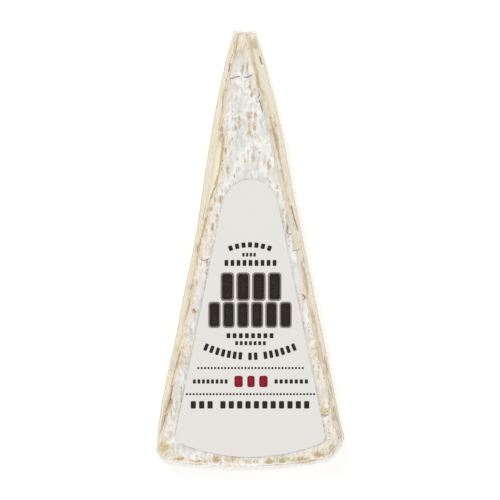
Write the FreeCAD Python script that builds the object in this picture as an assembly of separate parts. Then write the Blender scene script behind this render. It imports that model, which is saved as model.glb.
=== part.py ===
"""A wedge of brie in tight clear film, with a label with an arched top on its upper rind.

Millimetres. +Z is up and +Y points to the nose, the end that was the middle of the wheel.
The pieces are laid out from the nose and then shifted together, so that the origin ends up under
the middle of the pack, on the surface that it rests on.

cheese  one sector of a flat round cheese. Its side view and its plan are both uneven: each cut flank
        swells by its own amounts, because the ripe paste flows out between the two rinds, and it sags
        towards the nose. A pinch runs under each rind. The rim keeps the wheel's barrel shape, and the
        top rind is cracked across near the nose and parted from the paste along both edges.
film    a tight skin of even thickness over the whole cheese, with an upright fold at each nose corner.
label   a thin plate with an arched top, straight tapering sides and a curved foot, on the film.

Each closed body is a loft through level outlines, which one function makes for the cheese, for the
hollow that it lies in and for the outside of the film, so that they follow each other.
"""

import FreeCAD
import Part
import math
import os

# The wheel and the wedge cut from it
WHEEL_RADIUS = 174.0  # from the middle of the wheel to the edge of its top rind
RIM_HEIGHT = 29.0  # cheese at the rim, rind to rind
NOSE_HEIGHT = 25.8  # cheese at the nose, where the ripe paste has sagged
LEFT_ANGLE = 10.7  # of the left cut from the wedge's length, in degrees
RIGHT_ANGLE = 12.8  # of the right cut
NOSE_TOP = 3.4  # width of the rind at the nose
EDGE_RADIUS = 1.3  # edges of the rind
LEFT_CORNER_RADIUS = 4.2  # upright corners between flanks and rim
RIGHT_CORNER_RADIUS = 8.0
RIM_SWELL = 2.3  # how far the rim's barrel stands out from the rind's edge
BARREL_POWER = 2.4

# How far the paste stands out from the rind's cut edge, at a distance from the nose
LEFT_SWELL = [(0.0, 1.8), (21.0, 2.9), (40.0, 3.5), (60.0, 1.9), (84.0, 1.6), (150.0, 2.1), (170.0, 1.5)]
RIGHT_SWELL = [(0.0, 3.7), (20.0, 4.8), (64.0, 4.3), (109.0, 2.7), (150.0, 2.4), (165.0, 1.7)]
SWELL_POWER = 0.7  # under 1 makes the paste's upright curve full
NOSE_ROUND = 1.6  # radius of the nose's two upright corners
NOSE_SWELL = 0.3  # of the paste in front of the nose
NOSE_HORN = 0.9  # how far the nose's two upright corners stand out past its middle
RIND_THICKNESS = 2.0
PINCH = 0.35  # how deep the line between rind and paste is drawn in
UNEVEN = 0.22  # height of the flanks' and the rim's slow waves
WAVE_LENGTHS = (43.0, 71.0)

# Cracks through the top rind, each a row of distance from the nose, place across and width there
CRACK_DEPTH = 1.3
CRACKS = [
    [(18.7, -5.8, 0.3), (18.1, -3.6, 0.8), (17.5, -1.2, 0.3)],
    [(17.9, 0.5, 0.3), (17.9, 2.0, 0.8), (17.1, 3.5, 0.3)],
    [(23.5, 6.6, 0.3), (26.3, 5.9, 1.1), (28.8, 7.0, 0.3)],
    [(68.9, -13.9, 0.3), (72.4, -15.0, 0.9), (75.9, -15.8, 0.3)],
    [(69.6, 16.6, 0.3), (74.8, 17.9, 0.9), (79.9, 19.3, 0.3)],
]

# The wrap
FILM_THICKNESS = 0.2
FILM_GAP = 0.2  # between film and cheese, everywhere but below
FOLD_DEPTH = 0.9  # of the gathered film at each nose corner

# The label
LABEL_THICKNESS = 0.2
LABEL_TOP = 59.1  # from the nose to the top of the arch
LABEL_SIDE_MARGIN = 5.3  # from the rind's left edge to the label's left side
LABEL_RIM_MARGIN = 3.2  # from the rind's edge at the rim to the label's foot
LABEL_FOOT_RADIUS = 76.0
LABEL_CORNER_RADIUS = 3.4
LABEL_SHIFT = 3.2  # of the label's middle line from the nose

# How finely the level outlines are laid out
NOSE_PLACES = (-1.0, -0.9, -0.6, 0.0, 0.6, 0.9, 1.0)
FLANK_STEPS = 8
CORNER_STEPS = 3
RIM_STEPS = 4
EDGE_STEPS = 2
PASTE_STEPS = 4

SKIN = FILM_GAP + FILM_THICKNESS
SLOPE = (RIM_HEIGHT - NOSE_HEIGHT) / WHEEL_RADIUS
FILM_TOP = FILM_THICKNESS + SKIN  # top of the film above the height of the cheese
NOSE = FreeCAD.Vector(0, 0, 0)  # the wheel's middle, where the pieces are laid out from


def height_at(y):
    """Height of the cheese above its foot."""
    return NOSE_HEIGHT - SLOPE * y


def meet_circle(start, way, centre, radius):
    """Distance from start along way to the far side of a circle."""
    inner = start - centre
    lead = inner.dot(way)
    return -lead + math.sqrt(lead**2 - inner.dot(inner) + radius**2)


def read_table(table, distance):
    """Value at a distance, along straight lines between the table's entries."""
    for (low, value), (high, next_value) in zip(table, table[1:]):
        if distance <= high:
            share = max(0.0, (distance - low) / (high - low))
            return value + share * (next_value - value)
    return table[-1][1]


def waves(distance):
    """Slow unevenness along a cut or round the rim."""
    return UNEVEN * sum(math.sin(2 * math.pi * distance / length) for length in WAVE_LENGTHS)


class Flank:
    """One cut side: a straight run from the nose, then the upright corner that turns into the rim."""

    def __init__(self, side, angle, swell, radius):
        self.side = side
        self.swell = swell
        self.radius = radius
        turn = math.radians(angle)
        self.along = FreeCAD.Vector(side * math.sin(turn), -math.cos(turn), 0)
        self.out = FreeCAD.Vector(side * math.cos(turn), math.sin(turn), 0)
        self.start = FreeCAD.Vector(side * NOSE_TOP / 2, 0, 0)
        inset = self.start - self.out * radius
        self.length = meet_circle(inset, self.along, NOSE, WHEEL_RADIUS - radius)
        self.corner = inset + self.along * self.length
        self.rim_way = (self.corner - NOSE).normalize()

    def swell_at(self, distance):
        return read_table(self.swell, distance) + waves(distance + 50 * self.side)

    def run(self, level):
        """Points along the straight cut, after the nose."""
        points = []
        for step in range(1, FLANK_STEPS + 1):
            distance = self.length * step / FLANK_STEPS
            out = level.grow - level.pinch + self.swell_at(distance) * level.swell
            points.append(self.start + self.along * distance + self.out * out)
        return points

    def turn(self, level):
        """Points round the corner, where the cut's swell gives way to the rim's."""
        points = []
        for step in range(CORNER_STEPS + 1):
            rim = step / CORNER_STEPS
            way = (self.out * (1 - rim) + self.rim_way * rim).normalize()
            cut_out = self.swell_at(self.length) * level.swell - level.pinch
            out = level.grow + (1 - rim) * cut_out + rim * RIM_SWELL * level.barrel
            points.append(self.corner + way * (self.radius + out))
        return points


class Level:
    """One upright step of the wedge: how high it lies and how far it stands out from the rind's edge."""

    def __init__(self, share, lift, inset, swell, skin, floor, fold):
        self.share = share
        self.lift = lift
        self.floor = floor
        self.rise = FILM_THICKNESS + skin - floor
        self.grow = skin - inset
        self.swell = swell
        self.fold = fold
        under_rind = share in (0.0, 1.0) and abs(lift) > EDGE_RADIUS + skin
        self.pinch = PINCH if under_rind else 0.0
        rim_height = RIM_HEIGHT + self.rise
        self.barrel = 1 - abs(2 * (share + lift / rim_height) - 1) ** BARREL_POWER

    def place(self, point):
        """The plan point lifted to this level."""
        z = self.floor + self.share * (height_at(point.y) + self.rise) + self.lift
        return FreeCAD.Vector(point.x, point.y, z)

    def curve(self, points):
        """A smooth edge through plan points. Even parameters keep the levels' edges in step."""
        spline = Part.BSplineCurve()
        even = [index / (len(points) - 1) for index in range(len(points))]
        spline.interpolate(Points=[self.place(point) for point in points], Parameters=even)
        return spline.toShape()


def rounded_edge(radius):
    """Steps of an edge from the upright side to the flat: drop below the flat and inset."""
    turns = [math.pi / 2 * step / EDGE_STEPS for step in range(EDGE_STEPS + 1)]
    return [(radius * (1 - math.sin(turn)), radius * (1 - math.cos(turn))) for turn in turns]


def level_steps(skin, floor):
    """From foot to top: share of the height, lift from there, inset and share of the swell."""
    steps = [(0.0, lift, inset, 0.0) for lift, inset in rounded_edge(EDGE_RADIUS)[::-1]]
    low_rind = FILM_THICKNESS + RIND_THICKNESS - skin - floor
    for step in range(PASTE_STEPS + 1):
        share = step / PASTE_STEPS
        lift = low_rind * (1 - share) - RIND_THICKNESS * share
        steps.append((share, lift, 0.0, math.sin(math.pi * share) ** SWELL_POWER))
    return steps + [(1.0, -drop, inset, 0.0) for drop, inset in rounded_edge(EDGE_RADIUS + skin)]


def nose_points(level):
    """Points across the blunt nose: a rounded corner, a shallow hollow and a rounded corner."""
    half = NOSE_TOP / 2 + level.grow
    low = -half - level.swell * LEFT_SWELL[0][1]
    high = half + level.swell * RIGHT_SWELL[0][1]
    corner = min(NOSE_ROUND, 0.3 * (high - low))
    points = []
    for across in NOSE_PLACES:
        inward = (1 - abs(across)) * (high - low) / 2
        near = max(0.0, 1 - inward / corner)
        horn = level.swell * (NOSE_HORN + level.fold) * across**2
        y = level.grow + level.swell * NOSE_SWELL + horn - corner * (1 - math.sqrt(1 - near**2))
        points.append(FreeCAD.Vector((low + high) / 2 + across * (high - low) / 2, y, 0))
    return points


def level_wire(level):
    """Closed outline of one level: nose, right cut, right corner, rim, left corner, left cut."""
    right = Flank(1, RIGHT_ANGLE, RIGHT_SWELL, RIGHT_CORNER_RADIUS)
    left = Flank(-1, LEFT_ANGLE, LEFT_SWELL, LEFT_CORNER_RADIUS)
    nose = nose_points(level)
    start, end = (math.atan2(flank.rim_way.y, flank.rim_way.x) for flank in (right, left))
    rim = []
    for step in range(RIM_STEPS + 1):
        angle = start + (end - start) * step / RIM_STEPS
        way = FreeCAD.Vector(math.cos(angle), math.sin(angle), 0)
        rim.append(NOSE + way * (WHEEL_RADIUS + level.grow + RIM_SWELL * level.barrel))
    runs = [
        nose,
        nose[-1:] + right.run(level),
        right.turn(level),
        rim,
        left.turn(level)[::-1],
        left.run(level)[::-1] + nose[:1],
    ]
    return Part.Wire([level.curve(points) for points in runs])


def wedge(skin, floor, fold=0.0):
    """The wedge's closed form, grown by skin, standing at height floor."""
    levels = [Level(*step, skin, floor, fold) for step in level_steps(skin, floor)]
    return Part.makeLoft([level_wire(level) for level in levels], True, True)


def crack_cutter(stations):
    """An upright blade along a crack, thin at both ends, reaching CRACK_DEPTH into the rind."""
    places = [FreeCAD.Vector(across, -distance, 0) for distance, across, width in stations]
    run = places[-1] - places[0]
    side = FreeCAD.Vector(-run.y, run.x, 0) / run.Length
    near = [place + side * station[2] / 2 for place, station in zip(places, stations)]
    far = [place - side * station[2] / 2 for place, station in zip(places, stations)]
    outline = near + far[::-1]
    blade = Part.Face(Part.makePolygon(outline + outline[:1])).extrude(FreeCAD.Vector(0, 0, RIM_HEIGHT))
    depth = FILM_THICKNESS + height_at(places[1].y) - CRACK_DEPTH
    blade.translate(FreeCAD.Vector(0, 0, depth))
    return blade


def make_cheese():
    cheese = wedge(0.0, FILM_THICKNESS)
    return cheese.cut([crack_cutter(stations) for stations in CRACKS])


def make_film():
    return wedge(SKIN, 0.0, FOLD_DEPTH).cut(wedge(FILM_GAP, FILM_THICKNESS))


def label_outline():
    """Outline on the level plane: an arch that runs smoothly into straight sides, and a curved foot."""
    turn = math.radians(LEFT_ANGLE)
    side_start = LABEL_SHIFT + NOSE_TOP / 2 - LABEL_SIDE_MARGIN / math.cos(turn)
    half_at_top = side_start + LABEL_TOP * math.tan(turn)
    arch = half_at_top * math.cos(turn) / (1 - math.sin(turn))
    top = FreeCAD.Vector(LABEL_SHIFT, -LABEL_TOP, 0)
    middle = top - FreeCAD.Vector(0, arch, 0)
    foot = FreeCAD.Vector(LABEL_SHIFT, LABEL_RIM_MARGIN - WHEEL_RADIUS, 0)
    foot_middle = foot + FreeCAD.Vector(0, LABEL_FOOT_RADIUS, 0)
    shoulders, corners = [], []
    for side in (-1, 1):
        shoulder = middle + FreeCAD.Vector(side * math.cos(turn), math.sin(turn), 0) * arch
        way = FreeCAD.Vector(side * math.sin(turn), -math.cos(turn), 0)
        shoulders.append(shoulder)
        corners.append(shoulder + way * meet_circle(shoulder, way, foot_middle, LABEL_FOOT_RADIUS))
    edges = [
        Part.Arc(shoulders[0], top, shoulders[1]).toShape(),
        Part.LineSegment(shoulders[1], corners[1]).toShape(),
        Part.Arc(corners[1], foot, corners[0]).toShape(),
        Part.LineSegment(corners[0], shoulders[0]).toShape(),
    ]
    return Part.Wire(edges), min(corner.y for corner in corners)


def make_label():
    """The label's plate, laid on the film's sloping top."""
    outline, corner_y = label_outline()
    plate = Part.Face(outline).extrude(FreeCAD.Vector(0, 0, LABEL_THICKNESS))
    upright = [edge for edge in plate.Edges if edge.BoundBox.ZLength > LABEL_THICKNESS / 2]
    corners = [edge for edge in upright if edge.BoundBox.YMax < corner_y + LABEL_CORNER_RADIUS / 2]
    plate = plate.makeFillet(LABEL_CORNER_RADIUS, corners)
    plate.rotate(NOSE, FreeCAD.Vector(1, 0, 0), -math.degrees(math.atan(SLOPE)))
    plate.translate(FreeCAD.Vector(0, 0, NOSE_HEIGHT + FILM_TOP))
    return plate


def main():
    os.makedirs("parts", exist_ok=True)
    pieces = {"cheese": make_cheese(), "film": make_film(), "label": make_label()}
    middle = pieces["film"].optimalBoundingBox().Center
    for name, piece in pieces.items():
        piece.translate(FreeCAD.Vector(-middle.x, -middle.y, 0))
        piece = piece.Solids[0] if len(piece.Solids) == 1 else piece
        piece.exportStep(os.path.join("parts", name + ".step"))
        box = piece.optimalBoundingBox()
        print(name, "valid", piece.isValid(), "solids", len(piece.Solids), "cm3", round(piece.Volume / 1000, 2))
        print("   from", [round(v, 2) for v in (box.XMin, box.YMin, box.ZMin)], end=" ")
        print("to", [round(v, 2) for v in (box.XMax, box.YMax, box.ZMax)])
    print("nose lies at", round(-middle.x, 3), round(-middle.y, 3))


main()
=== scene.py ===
"""The looks of a wedge of brie in tight clear film, with a paper label on its upper rind.

Written as a Blender add-on: sizes and colours are properties, each piece has its own operator, and a
panel in the 3D view's sidebar lists them. Lengths are in metres in the shared frame. Tables that say
"from the nose" and "across" are in millimetres, along the wedge and to the right of the nose.
"""

import math

import bmesh
import bpy
import numpy as np
from mathutils import Matrix, Vector


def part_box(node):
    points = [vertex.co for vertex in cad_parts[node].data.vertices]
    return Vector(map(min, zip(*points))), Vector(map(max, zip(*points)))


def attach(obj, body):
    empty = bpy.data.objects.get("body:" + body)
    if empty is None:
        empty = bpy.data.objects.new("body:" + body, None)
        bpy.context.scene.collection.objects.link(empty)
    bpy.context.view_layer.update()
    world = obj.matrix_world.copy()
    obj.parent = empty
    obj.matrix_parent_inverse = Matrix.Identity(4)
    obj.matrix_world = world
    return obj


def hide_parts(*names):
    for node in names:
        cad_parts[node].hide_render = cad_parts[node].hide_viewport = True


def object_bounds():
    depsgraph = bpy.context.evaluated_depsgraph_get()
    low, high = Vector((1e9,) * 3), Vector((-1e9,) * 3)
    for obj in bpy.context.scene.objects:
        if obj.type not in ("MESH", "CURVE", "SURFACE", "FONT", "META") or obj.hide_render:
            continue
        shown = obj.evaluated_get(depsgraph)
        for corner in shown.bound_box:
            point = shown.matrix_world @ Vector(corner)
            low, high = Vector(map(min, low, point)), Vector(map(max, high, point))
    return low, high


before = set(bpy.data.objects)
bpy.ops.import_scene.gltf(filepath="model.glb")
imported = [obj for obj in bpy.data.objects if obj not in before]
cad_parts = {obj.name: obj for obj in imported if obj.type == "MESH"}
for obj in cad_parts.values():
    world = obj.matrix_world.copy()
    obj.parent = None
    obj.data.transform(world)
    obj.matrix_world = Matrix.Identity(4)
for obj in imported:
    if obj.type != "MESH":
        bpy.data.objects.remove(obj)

bl_info = {
    "name": "Brie wedge",
    "version": (1, 0, 0),
    "blender": (4, 5, 0),
    "location": "View3D > Sidebar > Brie",
    "description": "Dresses the wedge of brie: rind, paste, film, label and print",
    "category": "Object",
}

MM = 0.001
CAD_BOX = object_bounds()
NOSE_ACROSS = -2.92  # the nose in the frame, in millimetres
NOSE_ALONG = 87.5
SLOPE = 0.01839  # rise of the upper rind away from the nose
NOSE_TOP = 26.0  # height of the upper rind at the nose
WHEEL_RADIUS = 174.0  # from the wheel's middle to the edge of its upper rind
RIM_STAINS = 172.6  # from the wheel's middle to the row of stains beside the rim
PRINT_FOOT = 0.602  # of the ink above the cheese: the film, its gap, the label and a hair
STRAW_PITCH = 2.3  # of the ripening mat
CREASE_WIDTH = 0.28
LIP_WIDTH = 0.8  # of the raised lips on both sides of a crease
SCRATCH_WIDTH = 0.3
NOISE_TABLE = 4096  # random numbers behind each noise, a power of two
FRAME_WIDTH = 0.20225  # what the camera sees from side to side, in metres
LENS = 500.0  # long, so that the wedge is seen almost without perspective
SENSOR = 36.0
WORLD_LEVEL = 0.63  # strength of the surroundings as light, where 1 is what the camera sees
FLOOR_DROP = 0.0002  # of the floor under the pack, in metres, so that the two don't flicker

# Marks of the ripening mat on the upper rind: from the nose, across, length, width, strength
MAT_MARKS = [
    (14.2, -0.1, 4.9, 1.0, 0.6), (14.0, 1.7, 5.3, 0.9, 0.6), (12.2, 0.7, 1.6, 2.0, 0.4),
    (21.1, 3.0, 4.9, 0.5, 0.8), (24.9, 3.5, 2.8, 0.5, 0.8), (22.9, 4.9, 2.0, 1.2, 0.5),
    (33.2, 2.8, 3.2, 1.4, 0.8), (33.3, 5.0, 3.0, 1.1, 0.7), (39.2, 2.7, 6.7, 1.5, 0.7),
    (37.7, 4.8, 3.8, 1.2, 0.7), (35.9, -1.3, 5.8, 1.1, 0.7), (38.2, -3.1, 2.2, 1.5, 0.7),
    (38.9, -9.1, 1.6, 1.6, 0.8), (47.3, -6.9, 2.6, 0.8, 0.7), (55.3, -6.0, 3.1, 0.9, 0.7),
    (51.0, -2.1, 4.0, 0.4, 0.5), (51.0, 0.7, 4.0, 0.4, 0.5), (50.2, 4.3, 4.0, 1.0, 0.6),
    (48.6, 6.7, 2.4, 0.8, 0.6), (53.1, 10.4, 4.3, 1.2, 0.7), (67.2, -9.2, 4.0, 0.6, 0.8),
    (67.2, -11.3, 3.2, 0.6, 0.6), (74.0, -10.5, 4.0, 0.6, 0.6), (71.0, -12.9, 2.0, 0.8, 0.8),
    (78.3, -12.2, 3.6, 1.2, 0.7), (95.7, -16.1, 2.8, 0.6, 0.5), (101.8, -15.1, 5.3, 0.6, 0.5),
    (62.0, 13.8, 2.2, 0.6, 0.8), (64.9, 14.2, 2.8, 0.6, 0.7), (79.1, 18.1, 3.6, 0.8, 0.5),
    (91.6, 24.4, 2.8, 0.7, 0.8), (97.9, 25.4, 2.4, 0.8, 0.7),
]
# Bare tan patches: from the nose, across, half width, half length, strength, yellowness
PATCHES = [
    (127.8, -26.0, 3.2, 3.2, 0.5, 0.1), (132.7, -24.0, 3.6, 3.2, 0.35, 0.0),
    (134.3, -28.4, 2.0, 3.6, 0.45, 0.0), (167.9, -31.8, 2.0, 2.8, 1.0, 1.0),
    (152.5, 33.0, 1.8, 1.7, 0.8, 0.9), (171.5, -25.4, 2.2, 1.0, 0.95, 0.2),
    (172.9, -18.5, 3.8, 1.0, 0.95, 0.0), (171.5, -10.6, 1.6, 2.0, 0.85, 0.0),
    (171.5, -4.6, 2.2, 1.0, 0.75, 0.0), (172.7, 10.6, 1.7, 1.3, 0.85, 0.0),
    (172.7, 16.4, 2.1, 1.7, 0.85, 0.0), (172.5, 24.6, 4.6, 1.4, 0.95, 0.1),
    (169.8, 31.0, 2.4, 1.5, 0.9, 0.1), (168.3, 36.0, 2.2, 2.6, 0.8, 0.3),
    (162.5, 34.8, 1.6, 3.0, 0.45, 0.0), (86.6, -18.2, 1.2, 1.8, 0.8, 0.0),
    (102.4, -21.1, 1.6, 1.2, 0.7, 0.0), (112.1, -19.5, 1.2, 1.2, 0.6, 0.0),
    (106.4, 24.6, 1.2, 1.2, 0.6, 0.0), (128.3, 30.1, 2.0, 3.8, 0.6, 0.4),
    (134.3, 33.7, 1.0, 4.4, 1.0, 0.0), (144.8, 35.9, 1.3, 5.8, 0.75, 0.0),
    (153.5, 37.1, 1.0, 3.4, 1.0, 0.0), (157.0, 39.1, 1.0, 4.4, 1.0, 0.0),
    (149.3, -29.6, 0.9, 3.0, 1.0, 0.0), (152.9, -31.1, 0.8, 3.4, 1.0, 0.0),
    (4.0, 5.0, 1.8, 2.0, 0.95, 0.6), (9.3, -1.7, 1.6, 2.0, 0.4, 0.0),
    (2.0, -3.6, 0.9, 2.6, 0.7, 0.2), (37.0, 13.2, 1.2, 2.4, 0.6, 0.0),
    (42.0, -8.4, 1.4, 2.4, 0.7, 0.0), (39.5, 11.5, 1.8, 2.0, 0.6, 0.1),
    (27.0, 8.2, 1.1, 2.0, 0.35, 0.2),
]
# Where the white rind ends over each cut, seen from above: from the nose, across
EDGE_LEFT = [
    (0.0, -2.0), (6.5, -2.6), (10.5, -4.3), (14.9, -5.4), (18.6, -6.1), (26.7, -7.4), (32.1, -7.9),
    (37.5, -9.0), (40.0, -8.5), (45.6, -7.9), (51.0, -8.3), (56.4, -9.3), (61.8, -10.8), (67.0, -13.2),
    (75.3, -15.0), (87.4, -17.4), (107.6, -21.4), (127.8, -25.2), (150.0, -30.6), (163.0, -33.9),
    (176.0, -38.0),
]
EDGE_RIGHT = [
    (0.0, 3.0), (6.5, 3.4), (10.5, 4.3), (15.9, 5.8), (21.3, 6.4), (24.6, 9.0), (27.8, 9.9),
    (32.0, 10.7), (37.5, 11.7), (42.9, 13.2), (51.0, 14.7), (59.1, 16.6), (67.2, 18.3), (75.3, 20.3),
    (87.4, 22.9), (107.6, 26.6), (127.8, 31.4), (150.0, 37.0), (163.0, 39.8), (176.0, 43.0),
]
# Slits and drying lines beside the rind, painted brown, in the slits partly as painted shade: from the nose
# and across, then width and strength
SLITS = [
    ([(12.4, -4.9), (15.4, -5.7)], 0.5, 1.3),
    ([(9.4, 6.9), (10.8, 7.3), (12.3, 7.9)], 0.55, 1.3),
    ([(69.2, -14.9), (71.5, -15.4), (75.4, -16.2)], 0.4, 0.8),
    ([(85.2, -18.0), (88.2, -18.4)], 0.7, 0.8),
    ([(69.7, 19.6), (74.0, 20.7), (79.5, 22.2)], 0.5, 1.0),
    ([(32.1, 9.9), (37.5, 11.9), (41.5, 12.9), (46.1, 13.6)], 0.3, 0.6),
    ([(82.0, 22.9), (87.4, 24.0), (98.7, 26.0)], 0.4, 0.6),
    ([(102.0, -20.6), (104.0, -21.8), (108.0, -22.0)], 0.4, 0.6),
    ([(142.0, -28.4), (147.7, -29.4), (152.9, -31.0), (156.8, -31.8), (161.5, -33.3)], 0.5, 1.0),
    ([(130.5, 32.8), (134.3, 33.9), (138.4, 35.0)], 0.45, 1.0),
    ([(150.7, 36.4), (156.5, 38.2), (161.0, 39.8)], 0.5, 0.9),
    ([(3.0, 7.0), (5.7, 6.6), (5.9, 4.6)], 0.35, 0.8),
    ([(2.4, -3.2), (6.5, -3.2), (9.0, -4.4), (13.0, -5.6)], 0.4, 0.75),
    ([(15.6, -5.8), (18.6, -6.6), (26.7, -7.7), (32.0, -8.6), (37.5, -9.5)], 0.35, 0.55),
    ([(46.1, 13.6), (51.0, 15.0), (56.4, 16.3), (62.0, 17.4)], 0.35, 0.5),
]
# Faint scratches in the mould, drawn in the painted crease shade, each a run of (from the nose, across)
SCRATCHES = [
    [(33.4, -3.5), (31.4, -1.1)],
    [(35.4, -4.2), (34.2, -2.5)],
    [(27.1, -3.8), (28.5, -1.3)],
    [(28.8, -4.6), (30.0, -3.2)],
    [(27.9, 6.3), (28.2, 4.8), (28.9, 2.6)],
    [(81.8, -18.3), (81.6, -15.1), (82.0, -12.2)],
]
# White streaks painted as highlights where the film is gathered: from the nose and across, then width and
# strength
PAINTED_GLINTS = [
    ([(170.9, -33.1), (168.5, -30.6), (167.3, -28.8)], 0.5, 1.0),
    ([(171.1, -30.4), (170.6, -27.0), (169.6, -24.4)], 0.4, 0.9),
    ([(154.5, 34.8), (158.0, 36.2), (162.2, 37.6)], 0.5, 0.9),
    ([(167.3, 33.2), (169.0, 35.6), (171.1, 36.6)], 0.5, 0.9),
    ([(143.0, -27.0), (152.0, -26.4), (160.0, -25.2)], 0.4, 0.5),
    ([(4.0, 4.6), (2.0, 2.6), (0.5, 2.2)], 0.4, 0.8),
    ([(7.5, -1.0), (4.0, 0.6), (0.8, 0.4)], 0.9, 0.8),
]
# Open cracks and sharp creases in the rind, each a run of (from the nose, across)
CREASES = [
    [(18.7, -5.8), (18.1, -3.6), (17.5, -1.2)],
    [(17.9, 0.5), (17.9, 2.0), (17.1, 3.5)],
    [(23.5, 6.6), (24.6, 6.9), (26.7, 6.0), (27.9, 6.9), (31.0, 8.0)],
    [(27.0, 6.5), (27.9, 7.2), (28.6, 7.3)],
    [(57.0, -3.2), (58.2, -3.4)],
    [(91.4, -16.7), (91.8, -15.3), (91.0, -13.6)],
    [(87.6, 20.4), (87.8, 21.7), (87.0, 22.9)],
    [(153.7, 31.4), (154.3, 33.1), (153.7, 34.7)],
    [(76.9, 17.7), (78.9, 18.1), (80.9, 17.9), (81.1, 19.7)],
    [(105.2, 23.8), (106.4, 25.0), (107.4, 24.6)],
    [(111.3, -19.9), (112.5, -19.1)],
]


def linear(code):
    """Scene-linear colour of an sRGB hex code."""
    parts = [int(code[i : i + 2], 16) / 255 for i in (0, 2, 4)]
    return tuple(c / 12.92 if c <= 0.04045 else ((c + 0.055) / 1.055) ** 2.4 for c in parts)


def length(name, description, default):
    """A length property in metres."""
    return bpy.props.FloatProperty(
        name=name, description=description, default=default, min=0.0, unit="LENGTH", precision=5
    )


def colour(name, description, code):
    """A colour property from an sRGB hex code."""
    return bpy.props.FloatVectorProperty(
        name=name, description=description, default=linear(code), size=3, min=0.0, max=1.0, subtype="COLOR"
    )


class BrieSizes(bpy.types.PropertyGroup):
    """Sizes of the looks, in metres."""

    rind: length("Rind", "Depth of the slab that the upper and lower rinds are made as", 0.0021)
    overlap: length("Overlap", "How far the paste reaches into each rind slab", 0.0001)
    rind_grain: length("Rind grain", "Mesh size of the rind", 0.00036)
    paste_grain: length("Paste grain", "Mesh size of the paste", 0.0006)
    film_grain: length("Film grain", "Mesh size of the film", 0.0006)
    lumps: length("Lumps", "Depth of the rind's soft lumps", 0.00045)
    mat_depth: length("Mat marks", "Depth of the marks left by the ripening mat", 0.0003)
    crease_depth: length("Creases", "Depth of the rind's creases", 0.0007)
    lip: length("Lips", "Height of the raised lip beside a crease", 0.0001)
    ragged: length("Ragged edge", "How far the rind's cut edge is torn back", 0.0004)
    wrinkle: length("Wrinkles", "Depth of the film's long straight wrinkles", 0.00012)
    draw_in: bpy.props.FloatProperty(
        name="Draw-in", description="Share of its width that the label loses towards its arch", default=0.12
    )
    print_rise: length("Print", "Thickness of the ink", 0.00003)


class BrieColours(bpy.types.PropertyGroup):
    """Colours of the looks."""

    bloom: colour("Bloom", "White mould of the rind", "FAF8F3")
    # Painted shade: the grey that darkens the mould in the hollows between its flakes.
    bloom_hollow_shade: colour("Bloom between flakes", "Mould in the hollows between its flakes", "D3CFC5")
    bloom_warm: colour("Warm bloom", "Mould yellowed by the paste and by age", "F4E4CB")
    bloom_grey: colour("Thin bloom", "Smooth greyish mould", "E8E7E2")
    stain: colour("Stain", "Bare tan rind between the mould", "D6C19A")
    stain_deep: colour("Deep stain", "Bare rind in its hollows", "A38B65")
    stain_yellow: colour("Yellow stain", "Rind soaked by the paste", "DBC88A")
    crust: colour("Crust", "Rind browned along its edges", "AE8856")
    crease: colour("Crease", "Shadowed bottom of creases", "85745F")
    # Partly painted shade: the dark brown in the partings between rind and paste is partly the shade that
    # falls into the gap.
    slit: colour("Slit", "Brown bottom of a parting between rind and paste", "7C5026")
    paste: colour("Paste", "Ripe paste", "F1E6CA")
    paste_light: colour("Light paste", "Paste where it is thick", "F7EFDA")
    # Also painted shade inside the paste's small eyes.
    paste_deep: colour("Deep paste", "Paste where it has run and darkened", "DDCEA8")
    # Also partly painted shade, where the line runs along the shoulder under the film.
    paste_line: colour("Drying line", "Peach line where the paste has dried against the film", "D8BB92")
    # Painted shade: the tone the film takes where it is seen at a slant, darkening the pack's outline.
    painted_slant_tone: colour("Haze", "Film seen at a slant", "E2D7BC")
    # Painted highlight: the near-white tone of the film over the rim, at the nose and in the gathered
    # streaks.
    painted_white_highlight: colour("Rim haze", "Film seen at a slant over the white rim", "FCFAF4")
    paper: colour("Paper", "Label paper", "E5E2DD")
    # Painted shade: the darker tone of the label's thin cut sides.
    paper_edge_shade: colour("Paper edge", "Label paper along its cut edge", "DAD7D2")
    ink: colour("Dark ink", "Print in brown-black", "231D1B")
    ink_grey: colour("Grey ink", "Halftone outline", "8C857F")
    ink_red: colour("Red ink", "Print in dark red", "8E0F28")


def sizes():
    return bpy.context.scene.brie_sizes


def colours():
    return bpy.context.scene.brie_colours


# ---------------------------------------------------------------- fields


def lattice_noise(points, size, seed):
    """Smooth value noise from 0 to 1 at each point, with lumps of the given size."""
    table = np.random.default_rng(seed).random(NOISE_TABLE)
    cell = points / size + seed * 7.31
    low = np.floor(cell).astype(np.int64)
    part = cell - low
    part = part * part * (3 - 2 * part)
    total = np.zeros(len(points))
    for corner in range(8):
        step = np.array([corner & 1, corner >> 1 & 1, corner >> 2 & 1])
        weight = np.prod(np.where(step, part, 1 - part), axis=1)
        at = low + step
        key = (at[:, 0] * 73856093) ^ (at[:, 1] * 19349663) ^ (at[:, 2] * 83492791)
        total += weight * table[key & (NOISE_TABLE - 1)]
    return total


def rough_noise(points, size, octaves, seed):
    """Several sizes of noise added up, from 0 to 1."""
    total = np.zeros(len(points))
    share = 0.0
    for octave in range(octaves):
        weight = 0.5**octave
        total += weight * lattice_noise(points, size * weight, seed + octave)
        share += weight
    return total / share


def ramp(values, low, high):
    """0 below low, 1 above high, smooth between."""
    part = np.clip((values - low) / (high - low), 0, 1)
    return part * part * (3 - 2 * part)


def near_path(along, across, path, width):
    """1 on a path of (from the nose, across), falling off over its width."""
    best = np.full(len(along), 1e9)
    for (s0, a0), (s1, a1) in zip(path, path[1:]):
        ds, da = s1 - s0, a1 - a0
        share = np.clip(((along - s0) * ds + (across - a0) * da) / (ds * ds + da * da), 0, 1)
        best = np.minimum(best, np.hypot(along - s0 - share * ds, across - a0 - share * da))
    return np.exp(-((best / width) ** 2))


def read_table(table, along):
    """Place across at each distance from the nose."""
    rows = np.array(table)
    return np.interp(along, rows[:, 0], rows[:, 1])


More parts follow.
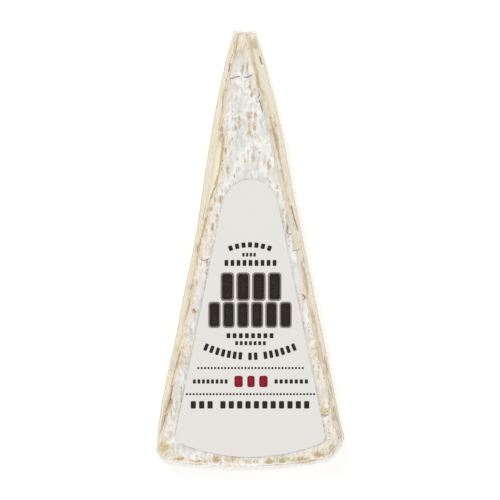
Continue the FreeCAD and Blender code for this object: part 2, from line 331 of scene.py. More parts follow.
class Places:
    """The vertices of a mesh in the terms that the tables use, in millimetres."""

    def __init__(self, mesh):
        points = np.empty(len(mesh.vertices) * 3)
        mesh.vertices.foreach_get("co", points)
        self.mesh = mesh
        self.points = points.reshape(-1, 3) / MM
        normals = np.empty(len(mesh.vertices) * 3, np.float32)
        mesh.vertices.foreach_get("normal", normals)
        self.normals = normals.reshape(-1, 3).astype(float)
        self.along = NOSE_ALONG - self.points[:, 1]
        self.across = self.points[:, 0] - NOSE_ACROSS
        self.under = NOSE_TOP + SLOPE * self.along - self.points[:, 2]
        self.reach = np.hypot(self.along, self.across)
        ragged = self.around(1.8, 3.2, 4, 5, 2.0) + self.around(0.8, 0.9, 2, 7, 1.5)
        left = self.across - read_table(EDGE_LEFT, self.along)
        right = read_table(EDGE_RIGHT, self.along) - self.across
        self.inside = np.minimum(left, right) + ragged

    def noise(self, size, octaves, seed, stretch=1.0):
        """Noise whose lumps are longer along the wedge by stretch."""
        return rough_noise(self.points / np.array([1, stretch, 1]), size, octaves, seed)

    def around(self, spread, size, octaves, seed, stretch=1.0):
        """The same noise around 0, half of spread to either side."""
        return spread * (self.noise(size, octaves, seed, stretch) - 0.5)

    def jitter(self):
        """Small shifts that keep the listed marks from looking drawn."""
        return self.around(2.2, 1.3, 3, 11)

    def write(self):
        """Puts the changed points back into the mesh."""
        self.mesh.vertices.foreach_set("co", (self.points * MM).ravel())
        self.mesh.update()

    def store(self, name, values):
        """Keeps one number for each vertex, for the material to read."""
        layer = self.mesh.attributes.new(name, "FLOAT", "POINT")
        layer.data.foreach_set("value", np.clip(values, 0, 1).astype(np.float32))


# ---------------------------------------------------------------- meshes


def node_bmesh(node):
    """A welded copy of a CAD node's mesh."""
    bm = bmesh.new()
    bm.from_mesh(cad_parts[node].data)
    bmesh.ops.remove_doubles(bm, verts=bm.verts, dist=1e-6)
    bmesh.ops.recalc_face_normals(bm, faces=bm.faces)
    return bm


def cut(bm, point, normal):
    """Removes what lies on the normal's side of a plane and closes the opening with one face."""
    everything = bm.verts[:] + bm.edges[:] + bm.faces[:]
    made = bmesh.ops.bisect_plane(
        bm, geom=everything, plane_co=point, plane_no=normal, clear_outer=True, dist=1e-7
    )
    rim = [e for e in made["geom_cut"] if isinstance(e, bmesh.types.BMEdge)]
    bmesh.ops.holes_fill(bm, edges=rim, sides=0)


def add_piece(name, bm):
    """A finished object from a bmesh, riding on the one body."""
    mesh = bpy.data.meshes.new(name)
    bm.to_mesh(mesh)
    bm.free()
    mesh.shade_smooth()
    piece = bpy.data.objects.new(name, mesh)
    bpy.context.scene.collection.objects.link(piece)
    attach(piece, "root")
    return piece


def remeshed(bm, grain):
    """The same shape with an even fine mesh, as a new bmesh."""
    mesh = bpy.data.meshes.new("coarse")
    bm.to_mesh(mesh)
    bm.free()
    coarse = bpy.data.objects.new("coarse", mesh)
    bpy.context.scene.collection.objects.link(coarse)
    modifier = coarse.modifiers.new("Remesh", "REMESH")
    modifier.mode = "VOXEL"
    modifier.voxel_size = grain
    evaluated = coarse.evaluated_get(bpy.context.evaluated_depsgraph_get())
    fine = bmesh.new()
    fine.from_mesh(evaluated.to_mesh())
    evaluated.to_mesh_clear()
    bpy.data.objects.remove(coarse)
    bpy.data.meshes.remove(mesh)
    for _ in range(3):
        axes = {"use_axis_x": True, "use_axis_y": True, "use_axis_z": True}
        bmesh.ops.smooth_vert(fine, verts=fine.verts, factor=0.5, **axes)
    return fine


def top_plane(depth):
    """A point on and the upward normal of the plane at a depth under the upper rind, in metres."""
    point = Vector((0, NOSE_ALONG * MM, NOSE_TOP * MM - depth))
    return point, Vector((0, SLOPE, 1)).normalized()


# ---------------------------------------------------------------- materials


class Nodes:
    """Builds the node tree of a material or a world."""

    def __init__(self, owner, output="ShaderNodeOutputMaterial"):
        self.owner = owner
        self.owner.use_nodes = True
        self.tree = self.owner.node_tree
        self.tree.nodes.clear()
        self.output = self.add(output)

    def add(self, kind, inputs=(), **settings):
        """Adds a node with its settings. Each input is a value, or a socket to link from."""
        node = self.tree.nodes.new(kind)
        for key, value in settings.items():
            setattr(node, key, value)
        for key, value in dict(inputs).items():
            if isinstance(value, bpy.types.NodeSocket):
                self.tree.links.new(value, node.inputs[key])
            else:
                node.inputs[key].default_value = value
        return node

    def blend(self, factor, first, second):
        """Colour between two colours."""
        inputs = {0: factor, 6: rgba(first), 7: rgba(second)}
        return self.add("ShaderNodeMix", inputs, data_type="RGBA").outputs[2]

    def band(self, value, low, high):
        """Value stretched so that low is 0 and high is 1."""
        inputs = {0: value, 1: low, 2: high}
        return self.add("ShaderNodeMapRange", inputs, interpolation_type="SMOOTHSTEP").outputs[0]

    def math(self, operation, first, second, clamp=True):
        """A sum or product of two values, kept from 0 to 1 unless clamp is False."""
        inputs = {0: first, 1: second}
        return self.add("ShaderNodeMath", inputs, operation=operation, use_clamp=clamp).outputs[0]

    def around(self, value, size):
        """A value from 0 to 1 as one around 0, of a size."""
        return self.math("MULTIPLY", self.math("SUBTRACT", value, 0.5, False), size, False)

    def rows(self, pitch, wander):
        """Rows along the wedge at a pitch in millimetres, 1 in their middle, wandering a little."""
        place = self.add("ShaderNodeTexCoord").outputs["Object"]
        squeezed = self.add("ShaderNodeMapping", {0: place, 3: (1, 0.25, 0.25)}).outputs[0]
        inputs = {
            "Vector": squeezed,
            "Scale": 2 * math.pi / (20 * pitch * MM),
            "Distortion": wander,
            "Detail": 2.0,
            "Detail Scale": 0.5,
        }
        return self.add("ShaderNodeTexWave", inputs, bands_direction="X").outputs["Fac"]

    def attribute(self, name):
        return self.add("ShaderNodeAttribute", attribute_name=name).outputs["Fac"]

    def grain(self, size, stretch=1.0, detail=4.0, shift=0.0):
        """Noise with lumps of a size in millimetres, longer along the wedge by stretch."""
        place = self.add("ShaderNodeTexCoord").outputs["Object"]
        mapped = self.add(
            "ShaderNodeMapping", {0: place, 1: (shift, shift, shift), 3: (1, 1 / stretch, 1)}
        ).outputs[0]
        inputs = {"Vector": mapped, "Scale": 1 / (size * MM), "Detail": detail, "Roughness": 0.6}
        return self.add("ShaderNodeTexNoise", inputs).outputs[0]

    def bump(self, height, distance, strength, normal=None):
        """A bump of a depth in millimetres."""
        inputs = {"Strength": strength, "Distance": distance * MM, "Height": height}
        if normal:
            inputs["Normal"] = normal
        return self.add("ShaderNodeBump", inputs).outputs[0]

    def finish(self, shader):
        self.tree.links.new(shader.outputs[0], self.output.inputs["Surface"])
        return self.owner


def rgba(value):
    """A colour with full alpha, or a socket as it is."""
    return value if isinstance(value, bpy.types.NodeSocket) else (*value, 1.0)


def bloom_nodes(n):
    """Colour and height of the white mould: soft clouds, flakes with painted grey shade in their hollows,
    warm where aged.
    """
    c = colours()
    clouds = n.band(n.grain(5.0, 1.5, 3.0), 0.40, 0.60)
    base = n.blend(clouds, c.bloom, c.bloom_grey)
    # Painted shade: the hollows mask darkens the mould between its flakes towards grey; where the mould is
    # aged the same mask mixes in tan stain instead.
    hollows = n.band(n.grain(1.1, 2.6, 7.0, 4.0), 0.48, 0.62)
    depth = n.math("MULTIPLY", hollows, n.math("SUBTRACT", 0.9, n.math("MULTIPLY", clouds, 0.3)))
    base = n.blend(depth, base, c.bloom_hollow_shade)
    aged = n.blend(n.math("MULTIPLY", hollows, 0.5), c.bloom_warm, c.stain)
    return n.blend(n.attribute("warm"), base, aged), n.grain(1.1, 2.4, 6.0, 1.0)


def paste_nodes(n, torn):
    """Colour and height of ripe paste: creamy, with streaks where it has run, and a few small eyes sunk by
    the bump and darkened with painted shade.
    """
    c = colours()
    base = n.blend(n.band(n.grain(3.0, 10.0, 3.0), 0.38, 0.66), c.paste, c.paste_light)
    narrow = n.band(n.grain(0.9, 16.0, 3.0, 5.0), 0.52, 0.66)
    base = n.blend(n.math("MULTIPLY", narrow, 0.25), base, c.paste_deep)
    # The eyes are small pits; the darker paste colour in them is painted shade.
    eyes = n.band(n.grain(2.4, 1.4, 1.0, 15.0), 0.74, 0.80)
    base = n.blend(n.math("MULTIPLY", eyes, 0.6), base, c.paste_deep)
    dried = n.band(n.math("ADD", n.attribute("dried"), torn, False), 0.25, 0.75)
    height = n.math("SUBTRACT", n.grain(2.5, 7.0, 4.0), eyes, False)
    return n.blend(n.math("MULTIPLY", dried, 0.8), base, c.paste_line), height


def crust_nodes(n, torn):
    """Where the bare crust shows through, and its colour: mat dots, specks and stained patches."""
    c = colours()
    straws = n.band(n.rows(2.05, 1.2), 0.55, 0.95)
    dots = n.band(n.grain(0.5, 2.2, 4.0, 9.0), 0.50, 0.58)
    dotted = n.math("MULTIPLY", n.math("MULTIPLY", straws, dots), n.attribute("worn"))
    specks = n.band(n.grain(0.7, 1.0, 2.0, 12.0), 0.66, 0.72)
    specks = n.math("MULTIPLY", specks, n.attribute("specks"))
    fine = n.math("MAXIMUM", dotted, n.math("MULTIPLY", specks, 0.6))
    frayed = n.math("ADD", torn, n.around(n.grain(0.4, 1.0, 3.0, 21.0), 0.7), False)
    reach = n.math("ADD", n.attribute("stain"), frayed, False)
    wide = n.math("MULTIPLY", n.band(reach, 0.18, 0.60), 0.85)
    deep = n.band(reach, 0.45, 0.80)
    pits = n.band(n.grain(0.5, 1.8, 4.0, 6.0), 0.46, 0.60)
    pitted = n.math("ADD", n.math("MULTIPLY", pits, 0.6), 0.4)
    dark = n.math("MULTIPLY", n.math("MAXIMUM", fine, deep), pitted)
    tan = n.blend(n.attribute("yellow"), n.blend(dark, c.stain, c.stain_deep), c.stain_yellow)
    tan = n.blend(n.math("MULTIPLY", n.attribute("browned"), dark), tan, c.crust)
    return n.math("MAXIMUM", wide, fine), tan


def cheese_material(name):
    """Matt felted mould that gives way to smooth, translucent, slightly glossy paste."""
    c = colours()
    n = Nodes(bpy.data.materials.new(name))
    torn = n.around(n.grain(0.6, 2.8, 6.0, 3.0), 1.2)
    bloom, bloom_height = bloom_nodes(n)
    paste, paste_height = paste_nodes(n, torn)
    wet = n.band(n.math("ADD", n.attribute("soaked"), torn, False), 0.38, 0.62)
    bare, tan = crust_nodes(n, torn)
    skin = n.blend(bare, n.blend(wet, bloom, paste), tan)
    # Painted shade: the crease colour darkens the bottom of the creases and runs along the scratches; the
    # slit colour is brown, and partly painted shade in the partings.
    for kind, tone in (("slit", c.slit), ("crease", c.crease)):
        line = n.math("ADD", n.attribute(kind), n.math("MULTIPLY", torn, 0.4, False), False)
        skin = n.blend(n.math("MULTIPLY", n.band(line, 0.2, 0.95), 0.9), skin, tone)
    inputs = {0: wet, 2: bloom_height, 3: n.math("MULTIPLY", paste_height, 0.7)}
    height = n.add("ShaderNodeMix", inputs).outputs[0]
    height = n.math("SUBTRACT", height, n.math("MULTIPLY", bare, 0.4), False)
    inputs = {
        "Base Color": skin,
        "Roughness": n.add("ShaderNodeMix", {0: wet, 2: 0.7, 3: 0.4}).outputs[0],
        "Specular IOR Level": 0.35,
        "Subsurface Weight": 0.15,
        "Subsurface Radius": (1.0, 0.75, 0.5),
        "Subsurface Scale": 0.001,
        "Normal": n.bump(height, 0.3, 0.6, n.bump(n.grain(0.35, 1.0, 6.0), 0.04, 0.5)),
    }
    return n.finish(n.add("ShaderNodeBsdfPrincipled", inputs))


def film_material():
    """Clear stretch film: seen by its glints, by painted shade along its edge where it is looked through at
    a slant, and by painted white highlights over the rim, at the nose and where it is gathered.
    """
    n = Nodes(bpy.data.materials.new("clear film"))
    slant = n.add("ShaderNodeLayerWeight", {"Blend": 0.5}).outputs["Facing"]
    # Painted shade: where the film is seen at a slant, up to 65% of it becomes a diffuse tone that darkens
    # the outline.
    cover = n.math("MULTIPLY", n.band(slant, 0.6, 1.0), 0.65)
    # Painted highlight: white streaks on the gathered film, broken up by a crease noise.
    creased = n.band(n.grain(0.8, 3.0, 4.0, 8.0), 0.35, 0.55)
    streak = n.math("MULTIPLY", n.attribute("painted_glint"), creased)
    cover = n.math("MAXIMUM", cover, n.math("MULTIPLY", streak, 0.75))
    glint = n.math("ADD", n.math("MULTIPLY", n.band(slant, 0.3, 1.0), 0.15), 0.04)
    crinkle = n.bump(n.grain(1.2, 10.0, 4.0), 0.1, 0.6)
    clear = n.add("ShaderNodeBsdfTransparent")
    # Painted highlight: over the rim, at the nose and in the streaks the slant tone turns near-white.
    white = n.math("MAXIMUM", n.attribute("rim"), streak)
    tone = n.blend(white, colours().painted_slant_tone, colours().painted_white_highlight)
    painted_slant_tone = n.add("ShaderNodeBsdfDiffuse", {"Color": tone})
    gloss = n.add("ShaderNodeBsdfGlossy", {"Roughness": 0.1, "Normal": crinkle})
    clear_with_painted_tone = n.add("ShaderNodeMixShader", {0: cover, 1: clear.outputs[0], 2: painted_slant_tone.outputs[0]})
    return n.finish(n.add("ShaderNodeMixShader", {0: glint, 1: clear_with_painted_tone.outputs[0], 2: gloss.outputs[0]}))


def paper_material():
    """Uncoated label paper: an even warm grey with faint fibres, and painted shade on its cut edge, darker
    where the faces turn from upright.
    """
    c = colours()
    n = Nodes(bpy.data.materials.new("label paper"))
    fibres = n.band(n.grain(0.6, 1.0, 5.0), 0.35, 0.65)
    clouds = n.band(n.grain(18.0, 1.0, 2.0), 0.3, 0.7)
    tone = n.math("ADD", n.math("MULTIPLY", fibres, 0.05), n.math("MULTIPLY", clouds, 0.05))
    # Painted shade: faces that turn away from upright, the label's thin sides, are darkened towards the
    # edge colour.
    normal = n.add("ShaderNodeNewGeometry").outputs["Normal"]
    edge = n.band(n.add("ShaderNodeSeparateXYZ", {0: normal}).outputs[2], 0.98, 0.6)
    skin = n.blend(n.math("MAXIMUM", tone, edge), c.paper, c.paper_edge_shade)
    inputs = {
        "Base Color": skin,
        "Roughness": 0.55,
        "Specular IOR Level": 0.35,
        "Normal": n.bump(fibres, 0.01, 0.4),
    }
    return n.finish(n.add("ShaderNodeBsdfPrincipled", inputs))


def ink_material(name, tone):
    """Offset ink on paper: nearly flat, slightly shinier than the paper, thinner in places."""
    n = Nodes(bpy.data.materials.new(name))
    thin = n.band(n.grain(0.35, 1.0, 3.0), 0.45, 0.75)
    skin = n.blend(n.math("MULTIPLY", thin, 0.06), tone, colours().paper)
    inputs = {"Base Color": skin, "Roughness": 0.6, "Specular IOR Level": 0.12}
    return n.finish(n.add("ShaderNodeBsdfPrincipled", inputs))


# ---------------------------------------------------------------- cheese


def spots(p, jitter, speckle):
    """Stain and yellowness from the listed mat marks and patches."""
    stain = np.zeros(len(p.along))
    yellow = np.zeros(len(p.along))
    breaks = ramp(p.noise(1.0, 2, 29, 0.8), 0.40, 0.58)
    for s, a, long, wide, strength in MAT_MARKS:
        far = np.abs((p.along - s) / (long / 2)) ** 4
        far = far + ((p.across + 0.4 * jitter - a) / (wide / 2 + 0.25)) ** 2
        stain = np.maximum(stain, strength * np.exp(-far) * (0.75 + 0.5 * breaks))
    for s, a, wide, long, strength, tint in PATCHES:
        far = ((p.along - jitter - s) / (1.15 * long)) ** 2
        far = far + ((p.across + jitter - a) / (1.15 * wide)) ** 2
        spot = strength * np.exp(-far) * (0.65 + 0.45 * speckle)
        yellow = np.where(spot > stain, tint, yellow)
        stain = np.maximum(stain, spot)
    return stain, yellow


def longest(p, runs, jitter):
    """The strongest of several (path, width, strength) at each place, thinner in plan where it is steep."""
    best = np.zeros(len(p.along))
    slope = np.clip(1.6 * p.normals[:, 2], 0.45, 1.0)
    for path, width, strength in runs:
        line = near_path(p.along, p.across + 0.25 * jitter, path, width * slope)
        best = np.maximum(best, strength * line)
    return best


def mat_rows(p, seed):
    """Short dashes in rows along the wedge, where the mat's straws pressed."""
    wander = 1.6 * p.noise(12.0, 2, 31 + seed)
    rows = 0.5 + 0.5 * np.cos(2 * math.pi * (p.across + wander) / STRAW_PITCH)
    dashes = ramp(p.noise(3.2, 3, 37 + seed, 2.0), 0.50, 0.62)
    return rows**3 * dashes * ramp(p.noise(14.0, 2, 41 + seed), 0.40, 0.56)


def dried_paste_and_shade_lines(p):
    """Thin lines where paste has dried along the left cut, and a line on the shoulder under the film,
    placed by slope, that is partly dried paste and partly painted shade of the film's crease.
    """
    gaps = ramp(p.noise(5.0, 2, 89, 4.0), 0.30, 0.50)
    left = (p.across < 0) * ramp(p.along, 56.0, 44.0)
    line = 0.75 * left * np.exp(-(((2.3 + p.inside) / 0.4) ** 2)) * (1 - 0.5 * gaps)
    # Partly painted shade: the shoulder line follows the surface's slope, standing for the shadow of the
    # film's crease as well as dried paste.
    shoulder = 0.65 * np.exp(-(((p.normals[:, 2] - 0.28) / 0.12) ** 2))
    shoulder = shoulder * ramp(p.noise(9.0, 2, 79, 3.0), 0.35, 0.55)
    near_top = ramp(p.under + p.around(3.0, 3.5, 3, 81), 4.5, 2.2)
    return np.maximum(line, shoulder) * near_top * ramp(p.inside, 0.4, -0.2)


def mark(p, seed, soaked, stain, features):
    """Keeps for the material what covers each place. Features is 0 where the listed marks don't reach."""
    jitter = p.jitter()
    spot, yellow = spots(p, jitter, ramp(p.noise(0.8, 3, 23), 0.36, 0.56))
    border = ramp(np.abs(p.inside + 0.1), 0.95, 0.0)
    border = border * (0.35 + 0.65 * ramp(p.noise(3.6, 3, 91, 2.5), 0.35, 0.65))
    rim = np.exp(-(((p.reach - RIM_STAINS) / 1.2) ** 2)) * ramp(p.noise(3.2, 3, 53), 0.46, 0.60)
    nose = ramp(p.along, 13.0, 5.0)
    soft = 0.55 * nose * ramp(p.noise(2.0, 3, 61, 1.6), 0.46, 0.60)
    listed = np.maximum.reduce([spot, border, 0.5 * rim, soft]) * features
    p.store("stain", np.maximum(np.maximum(listed, 0.4 * mat_rows(p, seed)), stain))
    p.store("yellow", yellow)
    p.store("browned", ramp(p.along, 95.0, 130.0) * ramp(p.noise(1.8, 3, 63), 0.38, 0.58))
    worn = ramp(p.noise(8.0, 3, 97 + seed), 0.50, 0.62) * ramp(p.reach, 172.0, 168.0)
    p.store("worn", worn * (1 - soaked))
    p.store("specks", ramp(p.noise(6.0, 3, 99 + seed), 0.45, 0.55) * (1 - soaked))
    low = 0.4 * ramp(p.noise(6.5, 3, 43), 0.46, 0.64) * ramp(p.along, 50.0, 85.0)
    low *= 1 - 0.5 * ramp(p.under, 1.0, 4.0)
    p.store("warm", np.maximum(low, 0.85 * np.maximum(ramp(p.inside, 2.6, 0.4), nose)))
    p.store("soaked", soaked)
    p.store("dried", dried_paste_and_shade_lines(p))
    lines = [(path, CREASE_WIDTH, 1.0) for path in CREASES]
    lines += [(path, SCRATCH_WIDTH, 0.55) for path in SCRATCHES]
    p.store("crease", longest(p, lines, jitter) * features)
    p.store("slit", longest(p, SLITS, jitter) * features)


def dress_rind(piece, top):
    """Relief and marks of one rind slab. Relief goes into the cheese, so the film stays clear."""
    p = Places(piece.data)
    s = sizes()
    seed = 0 if top else 50
    here = float(top)
    face = ramp(p.under if top else p.points[:, 2] - 0.2, 1.5, 0.3)
    side = ramp(np.abs(p.normals[:, 2]), 0.8, 0.3)
    jitter = p.jitter()
    stain = spots(p, jitter, 1.0)[0] * here
    crease = longest(p, [(path, CREASE_WIDTH, 1.0) for path in CREASES], jitter) * here
    lip = longest(p, [(path, LIP_WIDTH, 1.0) for path in CREASES], jitter) * here
    slit = longest(p, SLITS, jitter) * here
    relief = s.lumps * ramp(p.noise(5.0, 4, 3 + seed, 1.5), 0.38, 0.72)
    relief += s.mat_depth * np.maximum(0.5 * mat_rows(p, seed), stain)
    relief += 0.08 * MM * p.noise(0.9, 3, 9 + seed)
    relief += s.crease_depth * np.maximum(crease, 0.6 * slit) - s.lip * lip
    p.points[:, 2] -= (relief / MM) * face * (1 if top else -1)
    torn = ramp(p.noise(2.2, 4, 67 + seed, 2.5), 0.35, 0.70) * side
    p.points[:, :2] -= p.normals[:, :2] * (s.ragged / MM * torn)[:, None]
    p.write()
    soaked = np.maximum(ramp(p.inside, 0.4, -0.4), 0.4 * ramp(p.along, 10.0, 4.0)) * here
    mark(p, seed, soaked, 0.0, face * here)


def dress_paste(piece):
    """The cut flanks and the rim: rind above and below the paste and round the rim."""
    p = Places(piece.data)
    height = p.points[:, 2]
    upper = ramp(p.under + p.around(3.0, 3.5, 3, 73), 5.2, 3.4)
    low = 0.7 * ramp(height + p.around(1.6, 2.5, 3, 77, 3.0), 3.4, 2.4)
    rim = ramp(p.reach + p.around(3.0, 3.0, 3, 71), WHEEL_RADIUS - 5.0, WHEEL_RADIUS - 3.0)
    rind = np.maximum(np.maximum(rim, ramp(p.inside, -0.4, 0.4) * upper), low)
    seen = np.maximum(upper, ramp(p.normals[:, 2], 0.02, 0.12) * ramp(p.under, 14.0, 10.0))
    stain = 0.4 * rim * ramp(p.noise(5.0, 3, 93), 0.5, 0.7) * (1 - upper)
    mark(p, 20, 1 - rind, stain, seen)


class BRIE_OT_rind(bpy.types.Operator):
    """Make the upper and the lower rind"""

    bl_idname = "brie.rind"
    bl_label = "Rind"

    def execute(self, context):
        s = sizes()
        whole = node_bmesh("cheese")
        top = whole.copy()
        point, up = top_plane(s.rind + 3 * s.rind_grain)
        cut(top, point, -up)
        top = remeshed(top, s.rind_grain)
        point, up = top_plane(s.rind)
        cut(top, point, -up)
        foot_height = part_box("cheese")[0].z + s.rind
        cut(whole, Vector((0, 0, foot_height + 3 * s.paste_grain)), Vector((0, 0, 1)))
        foot = remeshed(whole, s.paste_grain)
        cut(foot, Vector((0, 0, foot_height)), Vector((0, 0, 1)))
        material = cheese_material("bloomy rind")
        for name, bm, is_top in (("rind_top", top, True), ("rind_foot", foot, False)):
            piece = add_piece(name, bm)
            dress_rind(piece, is_top)
            piece.data.materials.append(material)
            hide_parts("cheese")
        return {"FINISHED"}


class BRIE_OT_paste(bpy.types.Operator):
    """Make the paste between the two rinds"""

    bl_idname = "brie.paste"
    bl_label = "Paste"

    def execute(self, context):
        s = sizes()
        bm = node_bmesh("cheese")
        depth = s.rind - 3 * s.paste_grain
        point, up = top_plane(depth)
        cut(bm, point, up)
        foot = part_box("cheese")[0].z
        cut(bm, Vector((0, 0, foot + depth)), Vector((0, 0, -1)))
        bm = remeshed(bm, s.paste_grain)
        point, up = top_plane(s.rind - s.overlap)
        cut(bm, point, up)
        cut(bm, Vector((0, 0, foot + s.rind - s.overlap)), Vector((0, 0, -1)))
        piece = add_piece("paste", bm)
        dress_paste(piece)
        piece.data.materials.append(cheese_material("ripe paste"))
        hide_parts("cheese")
        return {"FINISHED"}


# ---------------------------------------------------------------- wrap


def outer_shell(bm):
    """Keeps the one surface of a hollow body that reaches its lowest point."""
    start = min(bm.verts, key=lambda v: v.co.z)
    seen = {start}
    edge = [start]
    while edge:
        edge = [e.other_vert(v) for v in edge for e in v.link_edges if e.other_vert(v) not in seen]
        edge = list(set(edge))
        seen.update(edge)
    bmesh.ops.delete(bm, geom=[v for v in bm.verts if v not in seen], context="VERTS")


class BRIE_OT_film(bpy.types.Operator):
    """Make the clear film"""

    bl_idname = "brie.film"
    bl_label = "Film"

    def execute(self, context):
        s = sizes()
        bm = node_bmesh("film")
        outer_shell(bm)
        piece = add_piece("film_wrap", remeshed(bm, s.film_grain))
        p = Places(piece.data)
        wrinkles = ramp(p.noise(1.6, 3, 101, 14.0), 0.45, 0.75)
        side = ramp(np.abs(p.normals[:, 2]), 0.95, 0.4)
        corner = ramp(p.reach, 158.0, 170.0) * ramp(np.abs(p.across - 3.0), 26.0, 33.0)
        folds = ramp(np.abs(p.noise(5.0, 2, 103) - 0.5), 0.07, 0.0) * np.maximum(corner, 0.4 * side)
        depth = np.maximum(wrinkles * side, 1.6 * folds)
        p.points -= p.normals * (s.wrinkle / MM * depth)[:, None]
        p.write()
        # Painted highlights: white streaks where the film gathers, and along the folds at the corners.
        streaks = longest(p, PAINTED_GLINTS, 0.0) * ramp(p.normals[:, 2], 0.1, 0.4)
        p.store("painted_glint", np.maximum(streaks, 0.5 * folds * corner))
        # Where the film's slant tone is a painted white highlight: over the rim and at the nose.
        white = ramp(p.reach, WHEEL_RADIUS - 6.0, WHEEL_RADIUS - 1.0)
        p.store("rim", np.maximum(white, 0.8 * ramp(p.along, 9.0, 2.0)))
        piece.data.materials.append(film_material())
        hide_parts("film")
        return {"FINISHED"}


# ---------------------------------------------------------------- label and print


class BRIE_OT_label(bpy.types.Operator):
    """Make the paper label, drawn in a little towards its arch"""

    bl_idname = "brie.label"
    bl_label = "Label"

    def execute(self, context):
        bm = node_bmesh("label")
        low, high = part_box("label")
        middle = (low.x + high.x) / 2
        for v in bm.verts:
            share = min(max((v.co.y - low.y) / (high.y - low.y) - 0.1, 0.0), 1.0)
            v.co.x = middle + (v.co.x - middle) * (1 - sizes().draw_in * share) - 0.1 * MM
        piece = add_piece("label_paper", bm)
        piece.data.shade_flat()
        piece.data.materials.append(paper_material())
        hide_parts("label")
        return {"FINISHED"}


def plate(bm, width, height, corner):
    """A flat plate with rounded corners, centred on the origin. Returns its vertices."""
    made = bmesh.ops.create_grid(bm, x_segments=1, y_segments=1, size=0.5)["verts"]
    bmesh.ops.scale(bm, vec=(width, height, 1), verts=made)
    options = {"offset_type": "OFFSET", "segments": 4, "profile": 0.5, "affect": "VERTICES", "material": -1}
    return bmesh.ops.bevel(bm, geom=made, offset=corner, **options)["verts"]


class Ink:
    """Flat shapes on the label, in millimetres from the origin, raised by the ink's thickness."""

    def __init__(self):
        self.bm = bmesh.new()

    def block(self, x, y, width, height, corner, turn=0.0):
        made = plate(self.bm, width, height, corner)
        place = Matrix.Translation((x, y, 0)) @ Matrix.Rotation(turn, 4, "Z")
        bmesh.ops.transform(self.bm, matrix=place, verts=made)

    def dots(self, first, last, y, pitch, size):
        count = round((last - first) / pitch)
        for i in range(count + 1):
            made = bmesh.ops.create_circle(self.bm, cap_ends=True, segments=12, radius=size / 2)["verts"]
            x = first + (last - first) * i / count
            bmesh.ops.translate(self.bm, vec=(x, y, 0), verts=made)

    def piece(self, name, slot, material, lift=0.0):
        """The ink as a thin raised sheet on the label's slope."""
        faces = self.bm.faces[:]
        made = bmesh.ops.extrude_face_region(self.bm, geom=faces)["geom"]
        up = [v for v in made if isinstance(v, bmesh.types.BMVert)]
        rise = sizes().print_rise / MM + lift
        bmesh.ops.translate(self.bm, vec=(0, 0, rise), verts=up)
        bmesh.ops.recalc_face_normals(self.bm, faces=self.bm.faces)
        foot = NOSE_TOP + PRINT_FOOT
        for v in self.bm.verts:
            v.co.z += foot + SLOPE * (NOSE_ALONG - v.co.y)
        bmesh.ops.scale(self.bm, vec=(MM, MM, MM), verts=self.bm.verts)
        piece = add_piece(name, self.bm)
        piece.data.materials.append(material)
        return piece


def words(ink, x0, x1, y, height, lengths, gap, bow=0.0):
    """A line of plain bars in the place of words, bowed up in its middle by bow."""
    step = (x1 - x0 - gap * (len(lengths) - 1)) / sum(lengths)
    x = x0
    for part in lengths:
        for i in range(part):
            mid = x + step * (i + 0.5)
            share = (2 * mid - x0 - x1) / (x1 - x0)
            turn = -math.atan(4 * bow * share / (x1 - x0))
            ink.block(mid, y + bow * (1 - share**2), step * 0.62, height, height * 0.12, turn)
        x += step * part + gap


class BRIE_OT_print(bpy.types.Operator):
    """Print the label with plain shapes"""

    bl_idname = "brie.print"
    bl_label = "Print"

    def execute(self, context):
        c = colours()
        dark, outline, red = Ink(), Ink(), Ink()
        words(dark, -9.1, 9.1, 0.2, 2.1, (7,), 0, 1.9)
        words(dark, -3.4, 2.6, -1.9, 1.5, (4,), 0)
        words(dark, -10.7, 11.1, -5.2, 2.4, (9,), 0)
        for x0, x1, y0, y1, count in ((-12.3, 13.1, -9.6, -19.9, 4), (-17.2, 17.2, -21.4, -30.8, 6)):
            step = (x1 - x0) / count
            for i in range(count):
                x = x0 + step * (i + 0.5)
                outline.block(x, (y0 + y1) / 2, step * 0.86, y0 - y1 + 1.2, 1.3)
                dark.block(x, (y0 + y1) / 2, step * 0.66, y0 - y1, 1.0)
        words(dark, -9.9, 9.9, -34.5, 2.0, (8,), 0)
        words(dark, -6.3, 6.7, -37.5, 1.6, (7,), 0)
        words(dark, -18.8, 18.8, -38.6, 3.0, (7, 2, 6), 1.6, -4.2)
        dark.dots(-20.8, 21.2, -47.5, 1.35, 0.9)
        words(dark, -23.3, -8.7, -52.9, 1.7, (8,), 0)
        words(dark, 9.5, 23.7, -52.9, 1.7, (7,), 0)
        for x, width in ((-4.6, 3.4), (0.4, 3.0), (5.4, 3.4)):
            red.block(x, -52.9, width, 4.6, 0.9)
        dark.dots(-25.4, 25.8, -58.0, 1.35, 0.9)
        words(dark, -24.5, 24.5, -62.3, 3.0, (3, 11), 1.8)
        outline.piece("print_outline", "print_dark", ink_material("grey ink", c.ink_grey))
        dark.piece("print_dark", "print_dark", ink_material("dark ink", c.ink), 0.02)
        red.piece("print_red", "print_red", ink_material("red ink", c.ink_red))
        return {"FINISHED"}


# ---------------------------------------------------------------- stage


def area_light(name, place, target, size, power):
    """A round soft light at a place, turned to its target."""
    light = bpy.data.lights.new(name, "AREA")
    light.shape = "DISK"
    light.size = size
    light.energy = power
    lamp = bpy.data.objects.new(name, light)
    bpy.context.scene.collection.objects.link(lamp)
    way = Vector(target) - Vector(place)
    lamp.matrix_world = Matrix.Translation(place) @ way.to_track_quat("-Z", "Y").to_matrix().to_4x4()


def floor_shader(n):
    """White paper that shows a faint contact shadow and is white elsewhere."""
    paper = n.add("ShaderNodeBsdfDiffuse", {"Color": (0.95, 0.95, 0.95, 1.0)})
    lift = n.add("ShaderNodeEmission", {"Strength": 0.2})
    return n.add("ShaderNodeAddShader", {0: paper.outputs[0], 1: lift.outputs[0]})


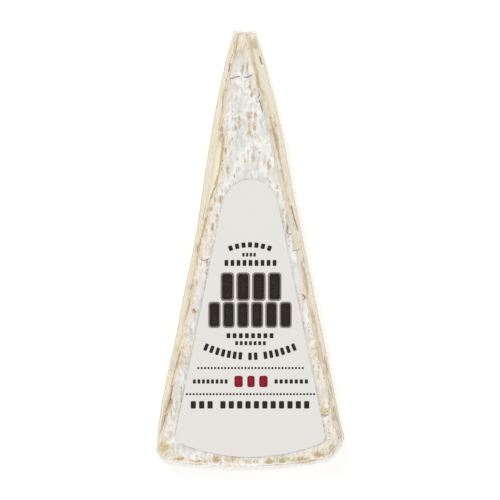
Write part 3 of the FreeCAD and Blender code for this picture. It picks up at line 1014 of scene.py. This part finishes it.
class BRIE_OT_stage(bpy.types.Operator):
    """Set the floor, the lights, the world and the camera"""

    bl_idname = "brie.stage"
    bl_label = "Stage"

    def execute(self, context):
        scene = context.scene
        bm = bmesh.new()
        bmesh.ops.create_circle(bm, cap_ends=True, segments=64, radius=6.0)
        bmesh.ops.translate(bm, vec=(0, 0, -FLOOR_DROP), verts=bm.verts)
        mesh = bpy.data.meshes.new("floor")
        bm.to_mesh(mesh)
        bm.free()
        floor = bpy.data.objects.new("floor", mesh)
        scene.collection.objects.link(floor)
        n = Nodes(bpy.data.materials.new("white sweep"))
        mesh.materials.append(n.finish(floor_shader(n)))
        n = Nodes(bpy.data.worlds.new("studio"), "ShaderNodeOutputWorld")
        rays = n.add("ShaderNodeLightPath").outputs
        mirrored = n.math("MAXIMUM", rays["Is Glossy Ray"], rays["Is Transmission Ray"], False)
        seen = n.math("MAXIMUM", rays["Is Camera Ray"], mirrored, False)
        level = n.add("ShaderNodeMix", {0: seen, 2: WORLD_LEVEL, 3: 1.0}).outputs[0]
        back = {"Color": (1, 1, 1, 1), "Strength": level}
        scene.world = n.finish(n.add("ShaderNodeBackground", back))
        area_light("key", (-0.3, 0.45, 1.4), (0, 0, 0.01), 0.4, 5.5)
        area_light("fill", (0.5, -0.2, 1.4), (0, 0, 0.01), 1.0, 2.8)
        area_light("front", (0.0, -1.3, 0.35), (0, -0.09, 0.015), 0.6, 2.6)
        camera = bpy.data.cameras.new("camera")
        camera.lens = LENS
        camera.sensor_width = SENSOR
        view = bpy.data.objects.new("camera", camera)
        scene.collection.objects.link(view)
        low, high = CAD_BOX
        middle = (Vector(low) + Vector(high)) / 2
        view.location = (middle.x, middle.y, middle.z + FRAME_WIDTH * LENS / SENSOR)
        scene.camera = view
        scene.view_settings.view_transform = "Standard"
        return {"FINISHED"}


class BRIE_PT_panel(bpy.types.Panel):
    """The steps and settings of the brie"""

    bl_idname = "BRIE_PT_panel"
    bl_label = "Brie"
    bl_space_type = "VIEW_3D"
    bl_region_type = "UI"
    bl_category = "Brie"

    def draw(self, context):
        for operator in OPERATORS:
            self.layout.operator(operator.bl_idname)
        for group in (context.scene.brie_sizes, context.scene.brie_colours):
            column = self.layout.column(align=True)
            for name in group.bl_rna.properties.keys():
                if name not in ("rna_type", "name"):
                    column.prop(group, name)


OPERATORS = (BRIE_OT_rind, BRIE_OT_paste, BRIE_OT_film, BRIE_OT_label, BRIE_OT_print, BRIE_OT_stage)
CLASSES = (BrieSizes, BrieColours, *OPERATORS, BRIE_PT_panel)


def register():
    for cls in CLASSES:
        bpy.utils.register_class(cls)
    bpy.types.Scene.brie_sizes = bpy.props.PointerProperty(type=BrieSizes)
    bpy.types.Scene.brie_colours = bpy.props.PointerProperty(type=BrieColours)


def unregister():
    del bpy.types.Scene.brie_colours
    del bpy.types.Scene.brie_sizes
    for cls in reversed(CLASSES):
        bpy.utils.unregister_class(cls)


def main():
    register()
    bpy.ops.brie.rind()
    bpy.ops.brie.paste()
    bpy.ops.brie.film()
    bpy.ops.brie.label()
    bpy.ops.brie.print()
    bpy.ops.brie.stage()


if __name__ == "__main__":
    main()
